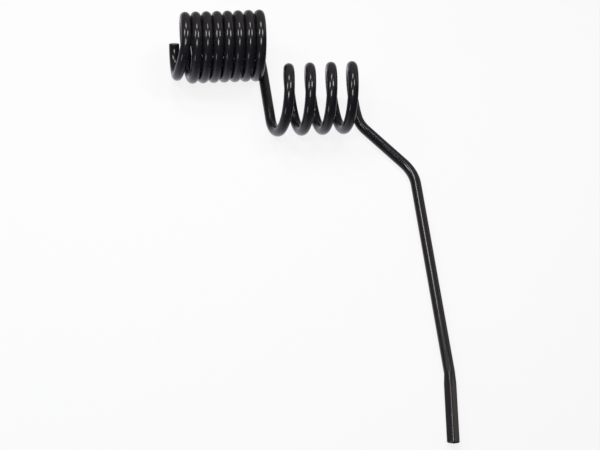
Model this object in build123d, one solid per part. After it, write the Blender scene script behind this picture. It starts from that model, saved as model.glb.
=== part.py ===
from build123d import *
from math import atan2, cos, degrees, pi, radians, sin, sqrt, tan
import os

# A torsion spring bent from one length of round wire. The wire starts at a cut
# end, winds a close coil and then an open coil, both left-handed, and goes on as
# a long leg with a tip that is pressed square. X runs along the coil axes, Z is
# up, and the origin is on the close coil's axis at the middle of its length. The
# spring lies on its coils and its leg.

# Wire
wire_diameter = 8.0

# Coils, wound on one mandrel
coil_inside_diameter = 39.3
close_turns = 8.146
close_gap = 0.18
open_turns = 4.0
open_gap = 8.15

# Cut end. A slope is the length gained along X for each length of wire round the
# coil. The wire springs inwards over its last turn, and steps away from the next
# turn on a steep jog. From there to the cut end it has next to no slope.
sprung_length = 106.0
sprung_blend_length = 54.0
sprung_in = 2.6
jog_length = 30.5
jog_slope = 0.196
jog_bend_half_length = 4.1
hook_length = 53.4
hook_slope = -0.012
hook_bend_half_length = 11.3

# Link, the straight stretch from under the close coil to under the open coil
link_length = 56.8
link_slope = 0.009
link_bend_half_length = 6.8
link_far_bend_past = 4.8

# Lead, the first stretch of the open coil, which is steeper than the rest
lead_slope = 0.169
lead_length = 54.0
lead_bend_half_length = 13.5

# Leg: the heading of each run, in degrees from square to the coils, the mean
# radius of the bend before it, and its length from corner to corner
splay_heading = 34.6
splay_length = 60.8
splay_bend_radius = 27.8
shank_heading = -1.1
shank_length = 184.9
shank_bend_radius = 36.0
tip_heading = -6.9
tip_bend_radius = 28.7

# Tip, round after its bend and then pressed square with one corner nearly upright.
# Its end is cut on a slant: the way the cut faces, and how far it looks downwards.
tip_round_length = 0.35
tip_square = 7.3
tip_corner_radius = 1.8
tip_lean = 10.0
tip_pressed_length = 50.0
tip_runout_length = 7.0
tip_end_heading = -3.2
tip_end_slant = 38.8
tip_end_round = 0.5

wire_radius = wire_diameter / 2
coil_radius = (coil_inside_diameter + wire_diameter) / 2
turn_length = 2 * pi * coil_radius
close_pitch = wire_diameter + close_gap
open_pitch = wire_diameter + open_gap
lead_pitch = lead_slope * turn_length
close_slope = close_pitch / turn_length
open_slope = open_pitch / turn_length

# Places along the wire are lengths seen along X, counted from the close coil's
# lowest point, where the link starts
cut_end_at = -close_turns * turn_length
sprung_until = cut_end_at + sprung_length
hook_bend_at = cut_end_at + hook_length
jog_bend_at = hook_bend_at + jog_length
far_bend_at = link_length + link_far_bend_past
far_bend_from = far_bend_at - link_bend_half_length
far_bend_until = far_bend_at + link_bend_half_length
lead_bend_at = link_length + lead_length
lead_bend_from = lead_bend_at - lead_bend_half_length
lead_bend_until = lead_bend_at + lead_bend_half_length
open_coil_end_at = link_length + open_turns * turn_length
link_start_x = close_turns * close_pitch / 2


def softened(past_corner, half_length):
    """How far past a corner a line has run, with the corner drawn as a bend."""
    if past_corner <= -half_length:
        return 0.0
    if past_corner >= half_length:
        return past_corner
    return (past_corner + half_length) ** 2 / (4 * half_length)


def sprung_share(at):
    """1 at the cut end, 0 on the regular coil, and smooth between them."""
    share = (sprung_until - at) / sprung_blend_length
    share = min(max(share, 0.0), 1.0)
    return share * share * (3 - 2 * share)


def angle_at(at):
    """The coil angle in radians from straight down. It stands still on the link."""
    on_link = min(max(at, 0.0), link_length)
    return (at - on_link) / coil_radius


def wire_point(at):
    """A point on the wire's centre line, from the cut end to the open coil's end."""
    x = link_start_x + close_slope * at
    x += (link_slope - close_slope) * softened(at, link_bend_half_length)
    x += (lead_slope - link_slope) * softened(at - far_bend_at, link_bend_half_length)
    x += (open_slope - lead_slope) * softened(at - lead_bend_at, lead_bend_half_length)
    x -= (jog_slope - close_slope) * softened(jog_bend_at - at, jog_bend_half_length)
    x += (jog_slope - hook_slope) * softened(hook_bend_at - at, hook_bend_half_length)
    radius = coil_radius - sprung_in * sprung_share(at)
    on_link = min(max(at, 0.0), link_length)
    return Vector(x, -on_link - radius * sin(angle_at(at)), -radius * cos(angle_at(at)))


def wire_motion(at):
    """How far the centre line moves for each millimetre of its place, as a vector."""
    step = 0.01
    return (wire_point(at + step) - wire_point(at - step)) / (2 * step)


def bent_stretch(start, end):
    """One cubic from place to place, leaving and arriving along the wire."""
    turned = angle_at(end) - angle_at(start)
    straight = end - start - turned * coil_radius
    reach = straight / 3 + coil_radius * tan(turned / 4) * 4 / 3
    leaving = wire_motion(start)
    arriving = wire_motion(end)
    return Bezier(
        wire_point(start),
        wire_point(start) + leaving * reach,
        wire_point(end) - arriving * reach,
        wire_point(end),
    )


def coil_stretch(start, end, pitch):
    """A regular left-hand helix between two places on one coil."""
    height = pitch * (end - start) / turn_length
    helix = Helix(pitch, height, coil_radius, lefthand=True)
    first = wire_point(start)
    outward = (0, -sin(angle_at(start)), -cos(angle_at(start)))
    axis_y = first.Y + coil_radius * sin(angle_at(start))
    return Plane(origin=(first.X, axis_y, 0), x_dir=outward, z_dir=(1, 0, 0)) * helix


def heading_vector(heading):
    """A level direction, turned from straight out of the coils towards +X."""
    return Vector(sin(radians(heading)), -cos(radians(heading)), 0)


def corner_reach(turn, radius):
    """From the start of a bend to the corner where its two runs would meet."""
    return radius * tan(radians(turn) / 2)


def bend(corner, before, after, radius):
    """The arc that rounds a corner between two directions."""
    reach = corner_reach(before.get_angle(after), radius)
    return TangentArc(corner - before * reach, corner + after * reach, tangent=before)


def arc_outline(radius, angles):
    """A circle drawn as arcs that meet at the given angles."""
    arcs = []
    for start, end in zip(angles, angles[1:] + [angles[0] + 360]):
        arcs.append(CenterArc((0, 0), radius, start, end - start))
    return Wire(arcs)


# Corners of the leg. It lies level with the wire under the coils as far as the
# shank, which climbs until the lower corner of the square tip is level too.
square_flat = tip_square - 2 * tip_corner_radius
square_reach = square_flat / sqrt(2) * cos(radians(tip_lean)) + tip_corner_radius
tip_rise = Vector(0, 0, square_reach - wire_radius)
splay_direction = heading_vector(splay_heading)
tip_direction = heading_vector(tip_heading)
coil_end = wire_point(open_coil_end_at)
coil_end_direction = wire_motion(open_coil_end_at).normalized()
splay_turn = coil_end_direction.get_angle(splay_direction)
splay_start = coil_end + coil_end_direction * corner_reach(splay_turn, splay_bend_radius)
shank_start = splay_start + splay_direction * splay_length
tip_start = shank_start + heading_vector(shank_heading) * shank_length + tip_rise
shank_direction = (tip_start - shank_start).normalized()
tip_turn = shank_direction.get_angle(tip_direction)
tip_bend_end = tip_start + tip_direction * corner_reach(tip_turn, tip_bend_radius)
round_until = tip_bend_end + tip_direction * tip_round_length
pressed_from = round_until + tip_direction * tip_runout_length

# The end is cut on a slant, so that its upper side reaches furthest
tip_end = pressed_from + tip_direction * tip_pressed_length
slant = radians(tip_end_slant)
end_normal = heading_vector(tip_end_heading) * cos(slant) - Vector(0, 0, sin(slant))
end_plane = Plane(tip_end, z_dir=end_normal)


def coil_centre_lines():
    """The stretches of centre line from the cut end to the end of the open coil."""
    hook_bend_from = hook_bend_at - hook_bend_half_length
    end_places = [
        cut_end_at,
        (cut_end_at + hook_bend_from) / 2,
        hook_bend_from,
        hook_bend_at,
        hook_bend_at + hook_bend_half_length,
        jog_bend_at - jog_bend_half_length,
        jog_bend_at + jog_bend_half_length,
        sprung_until,
    ]
    sprung = [bent_stretch(*ends) for ends in zip(end_places, end_places[1:])]
    link_straight = Line(wire_point(link_bend_half_length), wire_point(far_bend_from))
    return sprung + [
        coil_stretch(sprung_until, -link_bend_half_length, close_pitch),
        bent_stretch(-link_bend_half_length, 0),
        bent_stretch(0, link_bend_half_length),
        link_straight,
        bent_stretch(far_bend_from, link_length),
        bent_stretch(link_length, far_bend_until),
        coil_stretch(far_bend_until, lead_bend_from, lead_pitch),
        bent_stretch(lead_bend_from, lead_bend_until),
        coil_stretch(lead_bend_until, open_coil_end_at, open_pitch),
    ]


def leg_centre_lines():
    """Straight runs and tangent bends, from the open coil to the tip's run-out."""
    splay_bend = bend(
        splay_start, coil_end_direction, splay_direction, splay_bend_radius
    )
    shank_bend = bend(shank_start, splay_direction, shank_direction, shank_bend_radius)
    tip_bend = bend(tip_start, shank_direction, tip_direction, tip_bend_radius)
    return [
        splay_bend,
        Line(splay_bend @ 1, shank_bend @ 0),
        shank_bend,
        Line(shank_bend @ 1, tip_bend @ 0),
        tip_bend,
        Line(tip_bend @ 1, round_until),
    ]


def square_outline():
    """The pressed section: four flats joined by corner arcs, one corner upright."""
    half = tip_square / 2
    flat = square_flat / 2
    sides = []
    for quarter in range(4):
        turn = Rotation(0, 0, 45 + 90 * quarter)
        sides.append(turn * Line((half, -flat), (half, flat)))
        sides.append(turn * CenterArc((flat, flat), tip_corner_radius, 0, 90))
    return Wire(sides)


def tip_section(outline, origin):
    """An outline placed square across the tip, with its upright corner leant over."""
    across = Vector(0, 0, 1).cross(tip_direction)
    plane = Plane(origin=origin, x_dir=across, z_dir=tip_direction)
    return plane * Rotation(0, 0, tip_lean) * Face(outline)


def round_wire(centre_lines):
    """Round wire on joined stretches. Its section, four arcs, is drawn at the tip."""
    section = tip_section(arc_outline(wire_radius, [45, 135, 225, 315]), round_until)
    return sweep(section, path=Wire(centre_lines), is_frenet=True)


def pressed_tip():
    """The run-out from round to square, and the square bar to its rounded-off end."""
    edge_angle = degrees(atan2(square_flat, tip_square))
    starts = [45 + 90 * quarter for quarter in range(4)]
    angles = [start + side for start in starts for side in (-edge_angle, edge_angle)]
    round_section = tip_section(arc_outline(wire_radius, angles), round_until)
    square_section = tip_section(square_outline(), pressed_from)
    runout = loft([round_section, square_section], ruled=True)
    uncut_length = tip_pressed_length + tip_square
    uncut_bar = extrude(square_section, amount=uncut_length, dir=tip_direction)
    bar = split(uncut_bar, bisect_by=end_plane, keep=Keep.BOTTOM)
    end_face = bar.faces().sort_by_distance(tip_end)[0]
    return runout, fillet(end_face.edges(), tip_end_round)


def spring():
    """The round wire in one sweep, with the pressed tip joined to its end."""
    wire = round_wire(coil_centre_lines() + leg_centre_lines())
    return wire.fuse(*pressed_tip())


os.makedirs("parts", exist_ok=True)
export_step(spring(), "parts/torsion_spring.step")
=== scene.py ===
from math import ceil, cos, pi, radians, sin, sqrt, tan

import bmesh
import bpy
from mathutils import Matrix, Quaternion, Vector


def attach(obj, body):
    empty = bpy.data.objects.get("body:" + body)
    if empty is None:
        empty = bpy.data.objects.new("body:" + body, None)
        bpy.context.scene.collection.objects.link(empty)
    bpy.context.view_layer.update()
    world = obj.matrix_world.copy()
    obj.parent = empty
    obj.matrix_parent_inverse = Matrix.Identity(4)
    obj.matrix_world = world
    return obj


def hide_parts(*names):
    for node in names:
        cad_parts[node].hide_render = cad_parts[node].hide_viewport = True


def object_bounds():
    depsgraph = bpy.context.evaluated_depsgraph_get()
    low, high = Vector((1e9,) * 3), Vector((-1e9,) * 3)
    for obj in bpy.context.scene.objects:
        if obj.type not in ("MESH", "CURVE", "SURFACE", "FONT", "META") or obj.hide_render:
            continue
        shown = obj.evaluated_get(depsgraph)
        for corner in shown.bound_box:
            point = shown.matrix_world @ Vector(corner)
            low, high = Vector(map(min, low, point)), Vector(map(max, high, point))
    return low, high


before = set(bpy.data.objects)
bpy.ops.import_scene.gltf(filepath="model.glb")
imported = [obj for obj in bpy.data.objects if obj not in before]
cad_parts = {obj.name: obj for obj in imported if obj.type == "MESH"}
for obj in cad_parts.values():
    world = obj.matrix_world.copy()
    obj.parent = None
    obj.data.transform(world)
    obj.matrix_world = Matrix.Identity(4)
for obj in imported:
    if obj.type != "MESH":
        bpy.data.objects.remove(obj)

cad_low, cad_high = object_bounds()


# Camera. It looks down on the spring from in front of the coils, a little from
# the left, and is rolled slightly. Lengths are in metres.
camera_distance = 1.694
camera_elevation = radians(50.77)
camera_heading = radians(13.18)
camera_roll = radians(7.79)
camera_aim = Vector((0.0443, -0.1562, cad_low.z))
camera_lens = 137.6

to_camera = Vector(
    (
        -sin(camera_heading) * cos(camera_elevation),
        -cos(camera_heading) * cos(camera_elevation),
        sin(camera_elevation),
    )
)
camera = bpy.data.objects.new("camera", bpy.data.cameras.new("camera"))
camera.data.lens = camera_lens
camera.data.sensor_width = 36.0
camera.location = camera_aim + to_camera * camera_distance
camera.rotation_mode = "QUATERNION"
camera.rotation_quaternion = (-to_camera).to_track_quat("-Z", "Y") @ Quaternion(
    (0, 0, 1), camera_roll
)
bpy.context.scene.collection.objects.link(camera)
bpy.context.scene.camera = camera


# Torsion spring. One length of round spring wire is wound left-handed into a
# close coil and an open coil, bent into a long leg, and pressed square at its
# tip. It is painted gloss black after it is formed.
wire_diameter = 0.0080
wire_radius = wire_diameter / 2
coil_radius = -cad_low.z - wire_radius
turn_length = 2 * pi * coil_radius
close_turns = 8.146
close_pitch = 0.00818
open_turns = 4.0
open_pitch = 0.01615
close_slope = close_pitch / turn_length
open_slope = open_pitch / turn_length

# Slopes are the gain along X for each length of wire round the coil. The last turn
# springs inwards, and steps away from the next turn on a steep jog. From there to
# the cut end it has next to no slope.
sprung_length = 0.106
sprung_blend_length = 0.054
sprung_in = 0.0026
jog_length = 0.0305
jog_slope = 0.196
jog_bend_half_length = 0.0041
hook_length = 0.0534
hook_slope = -0.012
hook_bend_half_length = 0.0113

# The link is the straight stretch between the coils, and the lead is the steeper
# first stretch of the open coil.
link_length = 0.0568
link_slope = 0.009
link_bend_half_length = 0.0068
far_bend_at = link_length + 0.0048
lead_slope = 0.169
lead_bend_at = link_length + 0.054
lead_bend_half_length = 0.0135

cut_end_at = -close_turns * turn_length
sprung_until = cut_end_at + sprung_length
hook_bend_at = cut_end_at + hook_length
jog_bend_at = hook_bend_at + jog_length
open_coil_end_at = link_length + open_turns * turn_length
link_start_x = close_turns * close_pitch / 2

# The leg: headings are in degrees from square to the coils.
splay_heading = 34.6
splay_length = 0.0608
splay_bend_radius = 0.0278
shank_heading = -1.1
shank_length = 0.1849
shank_bend_radius = 0.036
tip_heading = -6.9
tip_bend_radius = 0.0287
tip_round_length = 0.00035

# The tip is pressed square, with one corner nearly upright, and its end is cut on
# a slant, facing partly downwards.
tip_square = 0.0073
tip_corner_radius = 0.0018
tip_lean = radians(10)
tip_pressed_length = 0.050
tip_runout_length = 0.007
tip_end_heading = -3.2
tip_end_slant = radians(38.8)
tip_end_round = 0.0012
cut_end_round = 0.0004

# Fineness of the mesh
corner_sides = 8
flat_cuts = 3
coil_step = 0.002
straight_step = 0.004
bend_step = radians(3)


def softened(past_corner, half_length):
    """How far past a corner the wire has run, with the corner drawn as a bend."""
    if past_corner <= -half_length:
        return 0.0
    if past_corner >= half_length:
        return past_corner
    return (past_corner + half_length) ** 2 / (4 * half_length)


def sprung_share(at):
    """1 at the cut end, 0 on the regular coil, and smooth between them."""
    share = (sprung_until - at) / sprung_blend_length
    share = min(max(share, 0.0), 1.0)
    return share * share * (3 - 2 * share)


def coil_point(at):
    """A point on the wire's middle line, by its length from the link's start."""
    x = link_start_x + close_slope * at
    x += (link_slope - close_slope) * softened(at, link_bend_half_length)
    x += (lead_slope - link_slope) * softened(at - far_bend_at, link_bend_half_length)
    x += (open_slope - lead_slope) * softened(at - lead_bend_at, lead_bend_half_length)
    x -= (jog_slope - close_slope) * softened(jog_bend_at - at, jog_bend_half_length)
    x += (jog_slope - hook_slope) * softened(hook_bend_at - at, hook_bend_half_length)
    radius = coil_radius - sprung_in * sprung_share(at)
    on_link = min(max(at, 0.0), link_length)
    angle = (at - on_link) / coil_radius
    return Vector((x, -on_link - radius * sin(angle), -radius * cos(angle)))


def coil_direction(at):
    """The direction that the wire runs in at a place on the coils."""
    nudge = 0.0001
    return (coil_point(at + nudge) - coil_point(at - nudge)).normalized()


def level_direction(heading):
    """A level direction, turned from straight out of the coils towards +X."""
    return Vector((sin(radians(heading)), -cos(radians(heading)), 0))


def bend_places(corner, before, after, radius):
    """Places round a bend, each a point on the middle line and its direction."""
    turn = before.angle(after)
    start = corner - before * radius * tan(turn / 2)
    axis = before.cross(after).normalized()
    centre = start + axis.cross(before) * radius
    steps = ceil(turn / bend_step)
    places = []
    for step in range(steps + 1):
        turned = Quaternion(axis, turn * step / steps)
        places.append((centre + turned @ (start - centre), turned @ before))
    return places


def straight_places(start, end):
    """Places between the ends of a straight run."""
    run = end - start
    steps = ceil(run.length / straight_step)
    return [(start + run * step / steps, run.normalized()) for step in range(1, steps)]


# Places along the round wire, from the cut end to the end of the tip's bend. Past
# it come a short round stretch, the run-out and the pressed stretch.
coil_steps = ceil((open_coil_end_at - cut_end_at) / coil_step)
coil_ats = [
    cut_end_at + (open_coil_end_at - cut_end_at) * step / coil_steps
    for step in range(coil_steps)
]
coil_places = [(coil_point(at), coil_direction(at)) for at in coil_ats]

square_flat = tip_square - 2 * tip_corner_radius
square_reach = square_flat / sqrt(2) * cos(tip_lean) + tip_corner_radius
tip_rise = Vector((0, 0, square_reach - wire_radius))
splay_direction = level_direction(splay_heading)
tip_direction = level_direction(tip_heading)
coil_end = coil_point(open_coil_end_at)
coil_end_direction = coil_direction(open_coil_end_at)
splay_turn = coil_end_direction.angle(splay_direction)
splay_corner = coil_end + coil_end_direction * splay_bend_radius * tan(splay_turn / 2)
shank_corner = splay_corner + splay_direction * splay_length
tip_corner = shank_corner + level_direction(shank_heading) * shank_length + tip_rise
shank_direction = (tip_corner - shank_corner).normalized()
splay_bend = bend_places(
    splay_corner, coil_end_direction, splay_direction, splay_bend_radius
)
shank_bend = bend_places(
    shank_corner, splay_direction, shank_direction, shank_bend_radius
)
tip_bend = bend_places(tip_corner, shank_direction, tip_direction, tip_bend_radius)
round_until = tip_bend[-1][0] + tip_direction * tip_round_length
pressed_from = round_until + tip_direction * tip_runout_length
tip_end = pressed_from + tip_direction * tip_pressed_length
wire_places = (
    coil_places
    + splay_bend
    + straight_places(splay_bend[-1][0], shank_bend[0][0])
    + shank_bend
    + straight_places(shank_bend[-1][0], tip_bend[0][0])
    + tip_bend
)

# The mesh starts as a square across the tip, which then leans into the slanted cut.
spring = bmesh.new()
bmesh.ops.create_circle(spring, cap_ends=True, radius=tip_square / sqrt(2), segments=4)
bmesh.ops.bevel(
    spring,
    geom=spring.verts[:],
    offset=tip_corner_radius,
    offset_type="OFFSET",
    affect="VERTICES",
    segments=corner_sides,
    profile=0.5,
    material=-1,
)
flats = [edge for edge in spring.edges if edge.calc_length() > square_flat / 2]
bmesh.ops.subdivide_edges(spring, edges=flats, cuts=flat_cuts)
across = Vector((0, 0, 1)).cross(tip_direction)
upright = tip_direction.cross(across)
tip_axes = Matrix((across, upright, tip_direction)).transposed().to_4x4()
bmesh.ops.transform(
    spring,
    matrix=Matrix.Translation(tip_end) @ tip_axes @ Matrix.Rotation(tip_lean, 4, "Z"),
    verts=spring.verts,
)
end_normal = level_direction(tip_end_heading) * cos(tip_end_slant)
end_normal.z = -sin(tip_end_slant)
for corner in spring.verts:
    short = end_normal.dot(tip_end - corner.co) / end_normal.dot(tip_direction)
    corner.co += tip_direction * short
tip_face = spring.faces[:][0]
rim = spring.edges[:]


def drawn_back(rim, from_place, to_place):
    """Extrudes the open rim of the wire from one place to the next."""
    made = bmesh.ops.extrude_edge_only(spring, edges=rim)["geom"]
    moved = [part for part in made if isinstance(part, bmesh.types.BMVert)]
    turned = from_place[1].rotation_difference(to_place[1]).to_matrix().to_4x4()
    bmesh.ops.transform(
        spring,
        matrix=Matrix.Translation(to_place[0])
        @ turned
        @ Matrix.Translation(-from_place[0]),
        verts=moved,
    )
    on_rim = set(moved)
    return [
        part
        for part in made
        if isinstance(part, bmesh.types.BMEdge) and on_rim.issuperset(part.verts)
    ]


# The square stretch, with closer rings at its ends to keep its shading flat. The
# rings next to the slanted end slant with it, and the rest stand square.
slanted_rings = (0.0008, 0.002)
square_rings = (0.010, 0.020, 0.030, 0.040, 0.048, tip_pressed_length)
place = (tip_end, tip_direction)
for back in slanted_rings + square_rings:
    last, place = place, (tip_end - tip_direction * back, tip_direction)
    rim = drawn_back(rim, last, place)
    if back in square_rings:
        for corner in {vert for edge in rim for vert in edge.verts}:
            corner.co -= tip_direction * tip_direction.dot(corner.co - place[0])

# The run-out from square to round
last, place = place, (round_until, tip_direction)
rim = drawn_back(rim, last, place)
for corner in {vert for edge in rim for vert in edge.verts}:
    corner.co = round_until + (corner.co - round_until).normalized() * wire_radius

# The round wire, back to the cut end
for last, place in zip([place] + wire_places[:0:-1], wire_places[::-1]):
    rim = drawn_back(rim, last, place)
cut_face = bmesh.ops.contextual_create(spring, geom=rim)["faces"][0]

for face, width in ((tip_face, tip_end_round), (cut_face, cut_end_round)):
    bmesh.ops.bevel(
        spring,
        geom=face.edges[:],
        offset=width,
        offset_type="OFFSET",
        affect="EDGES",
        segments=3,
        profile=0.5,
        material=-1,
    )
bmesh.ops.recalc_face_normals(spring, faces=spring.faces)
for face in spring.faces:
    face.smooth = True
spring_mesh = bpy.data.meshes.new("painted_spring")
spring.to_mesh(spring_mesh)
spring.free()
painted_spring = bpy.data.objects.new("painted_spring", spring_mesh)
bpy.context.scene.collection.objects.link(painted_spring)

# Gloss black paint, sprayed or dipped: nearly black, a little violet, with a clear
# gloss skin that has faint waves.
paint = bpy.data.materials.new("gloss_black_paint")
paint.use_nodes = True
nodes, links = paint.node_tree.nodes, paint.node_tree.links
surface = nodes["Principled BSDF"]
surface.inputs["IOR"].default_value = 1.5
surface.inputs["Specular IOR Level"].default_value = 0.08
surface.inputs["Coat Weight"].default_value = 0.85
surface.inputs["Coat Roughness"].default_value = 0.15
surface.inputs["Coat IOR"].default_value = 1.5
place_on_piece = nodes.new("ShaderNodeTexCoord")

patches = nodes.new("ShaderNodeTexNoise")
patches.inputs["Scale"].default_value = 45.0
patches.inputs["Detail"].default_value = 3.0
links.new(place_on_piece.outputs["Object"], patches.inputs["Vector"])

paint_colour = nodes.new("ShaderNodeMix")
paint_colour.data_type = "RGBA"
paint_colour.inputs["A"].default_value = (0.0092, 0.0079, 0.0103, 1)
paint_colour.inputs["B"].default_value = (0.0140, 0.0124, 0.0156, 1)
links.new(patches.outputs["Fac"], paint_colour.inputs["Factor"])
links.new(paint_colour.outputs["Result"], surface.inputs["Base Color"])

gloss = nodes.new("ShaderNodeMapRange")
gloss.inputs["To Min"].default_value = 0.34
gloss.inputs["To Max"].default_value = 0.42
links.new(patches.outputs["Fac"], gloss.inputs["Value"])
links.new(gloss.outputs["Result"], surface.inputs["Roughness"])

skin = nodes.new("ShaderNodeTexNoise")
skin.inputs["Scale"].default_value = 420.0
skin.inputs["Detail"].default_value = 2.0
links.new(place_on_piece.outputs["Object"], skin.inputs["Vector"])
waves = nodes.new("ShaderNodeBump")
waves.inputs["Strength"].default_value = 0.02
waves.inputs["Distance"].default_value = 0.00004
links.new(skin.outputs["Fac"], waves.inputs["Height"])
links.new(waves.outputs["Normal"], surface.inputs["Normal"])
links.new(waves.outputs["Normal"], surface.inputs["Coat Normal"])

spring_mesh.materials.append(paint)
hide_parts("torsion_spring")
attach(painted_spring, "root")


# Floor: a plain white table top that the spring lies on. In the spring's paint the
# table shows as the room draws it, so mirrored rays pass through this one.
floor_mesh = bpy.data.meshes.new("floor")
floor_shape = bmesh.new()
bmesh.ops.create_grid(floor_shape, x_segments=1, y_segments=1, size=8.0)
bmesh.ops.translate(floor_shape, vec=(0, 0, cad_low.z), verts=floor_shape.verts)
floor_shape.to_mesh(floor_mesh)
floor_shape.free()
floor = bpy.data.objects.new("floor", floor_mesh)
bpy.context.scene.collection.objects.link(floor)

# The camera sees the floor mostly as plain white, and the rest keeps the shadow.
plain_white_share = 0.85
floor_white = bpy.data.materials.new("floor_white")
floor_white.use_nodes = True
nodes, links = floor_white.node_tree.nodes, floor_white.node_tree.links
nodes.remove(nodes["Principled BSDF"])
matt = nodes.new("ShaderNodeBsdfDiffuse")
matt.inputs["Color"].default_value = (0.9, 0.9, 0.9, 1)
glow = nodes.new("ShaderNodeEmission")
glow.inputs["Color"].default_value = (1, 1, 1, 1)
clear = nodes.new("ShaderNodeBsdfTransparent")
rays = nodes.new("ShaderNodeLightPath")
seen = nodes.new("ShaderNodeMath")
seen.operation = "MULTIPLY"
seen.inputs[1].default_value = plain_white_share
links.new(rays.outputs["Is Camera Ray"], seen.inputs[0])
whitened = nodes.new("ShaderNodeMixShader")
links.new(seen.outputs["Value"], whitened.inputs["Fac"])
links.new(matt.outputs["BSDF"], whitened.inputs[1])
links.new(glow.outputs["Emission"], whitened.inputs[2])
passed = nodes.new("ShaderNodeMixShader")
links.new(rays.outputs["Is Glossy Ray"], passed.inputs["Fac"])
links.new(whitened.outputs["Shader"], passed.inputs[1])
links.new(clear.outputs["BSDF"], passed.inputs[2])
links.new(passed.outputs["Shader"], nodes["Material Output"].inputs["Surface"])
floor_mesh.materials.append(floor_white)


# Studio light: four soft lamps overhead in a diamond, and a dim window low down at
# the front left.
lamp_distance = 0.65


def soft_lamp(name, towards, width, radiance, colour):
    """A square lamp that shows as one soft highlight on each turn. Its width is in
    degrees, as seen from the coils."""
    towards = Vector(towards).normalized()
    light = bpy.data.lights.new(name, "AREA")
    light.shape = "SQUARE"
    light.size = 2 * lamp_distance * tan(radians(width) / 2)
    light.energy = radiance * pi * light.size**2
    light.color = colour
    lamp = bpy.data.objects.new(name, light)
    lamp.location = towards * lamp_distance
    lamp.rotation_mode = "QUATERNION"
    lamp.rotation_quaternion = (-towards).to_track_quat("-Z", "Y")
    bpy.context.scene.collection.objects.link(lamp)


soft_lamp("back_lamp", (-0.05, 0.46, 0.88), 15, 9.5, (1.0, 0.99, 0.97))
soft_lamp("left_lamp", (-0.58, 0.14, 0.80), 15, 11.5, (0.97, 0.98, 1.0))
soft_lamp("right_lamp", (0.40, 0.0, 0.92), 15, 13.0, (1.0, 0.99, 0.98))
soft_lamp("front_lamp", (-0.16, -0.46, 0.87), 15, 12.5, (1.0, 1.0, 1.0))
soft_lamp("window", (-0.66, -0.73, 0.16), 14, 5.0, (0.75, 0.85, 1.0))


# Room: dim and even as light. Mirrored in the paint it shows a white table that is
# brightest straight below and darkens most towards the near right, a brownish wall
# behind, and a pale card at the right. The camera sees plain white.
world = bpy.data.worlds.new("studio")
bpy.context.scene.world = world
world.use_nodes = True
nodes, links = world.node_tree.nodes, world.node_tree.links
ray = nodes.new("ShaderNodeTexCoord").outputs["Generated"]
way = nodes.new("ShaderNodeSeparateXYZ")
links.new(ray, way.inputs["Vector"])
way_x, way_y, way_z = way.outputs


def combined(operation, *values):
    """One step of arithmetic, on numbers or on the outputs of other nodes."""
    node = nodes.new("ShaderNodeMath")
    node.operation = operation
    for socket, value in zip(node.inputs, values):
        if isinstance(value, float):
            socket.default_value = value
        else:
            links.new(value, socket)
    return node.outputs["Value"]


def facing(direction):
    """How nearly a ray points a given way: 1 straight along it, -1 straight back."""
    node = nodes.new("ShaderNodeVectorMath")
    node.operation = "DOT_PRODUCT"
    node.inputs[1].default_value = direction
    links.new(ray, node.inputs[0])
    return node.outputs["Value"]


def faded(value, none_at, full_at):
    """0 where the value is none_at, 1 where it is full_at, and smooth between."""
    node = nodes.new("ShaderNodeMapRange")
    node.interpolation_type = "SMOOTHSTEP"
    node.inputs["From Min"].default_value = none_at
    node.inputs["From Max"].default_value = full_at
    links.new(value, node.inputs["Value"])
    return node.outputs["Result"]


def light_from(colour, strength):
    """One part of what the paint mirrors."""
    node = nodes.new("ShaderNodeBackground")
    node.inputs["Color"].default_value = colour
    if isinstance(strength, float):
        node.inputs["Strength"].default_value = strength
    else:
        links.new(strength, node.inputs["Strength"])
    return node.outputs["Background"]


def mixed(kind, first, second, share=None):
    """Two shaders added together, or mixed by how much of the second to show."""
    node = nodes.new(kind)
    links.new(first, node.inputs[-2])
    links.new(second, node.inputs[-1])
    if share:
        links.new(share, node.inputs["Fac"])
    return node.outputs["Shader"]


white = (1, 1, 1, 1)
plain_light = (0.12, 0.12, 0.125, 1)
mirrored_haze = (0.03, 0.03, 0.032, 1)

# Table, which fades out towards the horizon, and faster on the near right
table_tint = (0.94, 0.92, 1.0, 1)
table_strength = 0.95
near_side_strength = 0.74
back_left = (-0.8, 0.6, 0.0)
steepness = combined("MAXIMUM", combined("MULTIPLY", way_z, -1.0), 0.0)
near_side = faded(facing(back_left), 0.1, -0.4)
change = combined("MULTIPLY_ADD", steepness, near_side_strength, -table_strength)
table = combined("MULTIPLY_ADD", near_side, change, table_strength)
table = combined("MULTIPLY", table, steepness)

# Wall, which rises behind the table and is lighter at the right
wall_brown = (0.235, 0.21, 0.19, 1)
wall_strength = 0.95
lighter_at_right = 0.4
wall = combined("MULTIPLY", faded(way_y, -0.1, 0.8), faded(way_z, -0.15, 0.15))
across_wall = combined("MULTIPLY_ADD", way_x, lighter_at_right, wall_strength)
wall = combined("MULTIPLY", wall, across_wall)

# Card, a round pale patch
card_grey = (0.46, 0.42, 0.38, 1)
card_direction = (0.88, 0.43, 0.2)
card = faded(facing(card_direction), 0.96, 0.99)

mirrored = light_from(mirrored_haze, 1.0)
for colour, strength in ((table_tint, table), (wall_brown, wall), (card_grey, card)):
    mirrored = mixed("ShaderNodeAddShader", mirrored, light_from(colour, strength))
rays = nodes.new("ShaderNodeLightPath")
for_mirrors = rays.outputs["Is Glossy Ray"]
for_camera = rays.outputs["Is Camera Ray"]
lit = mixed("ShaderNodeMixShader", light_from(plain_light, 1.0), mirrored, for_mirrors)
shown = mixed("ShaderNodeMixShader", lit, light_from(white, 1.0), for_camera)
links.new(shown, nodes["World Output"].inputs["Surface"])
bpy.context.scene.view_settings.view_transform = "Standard"
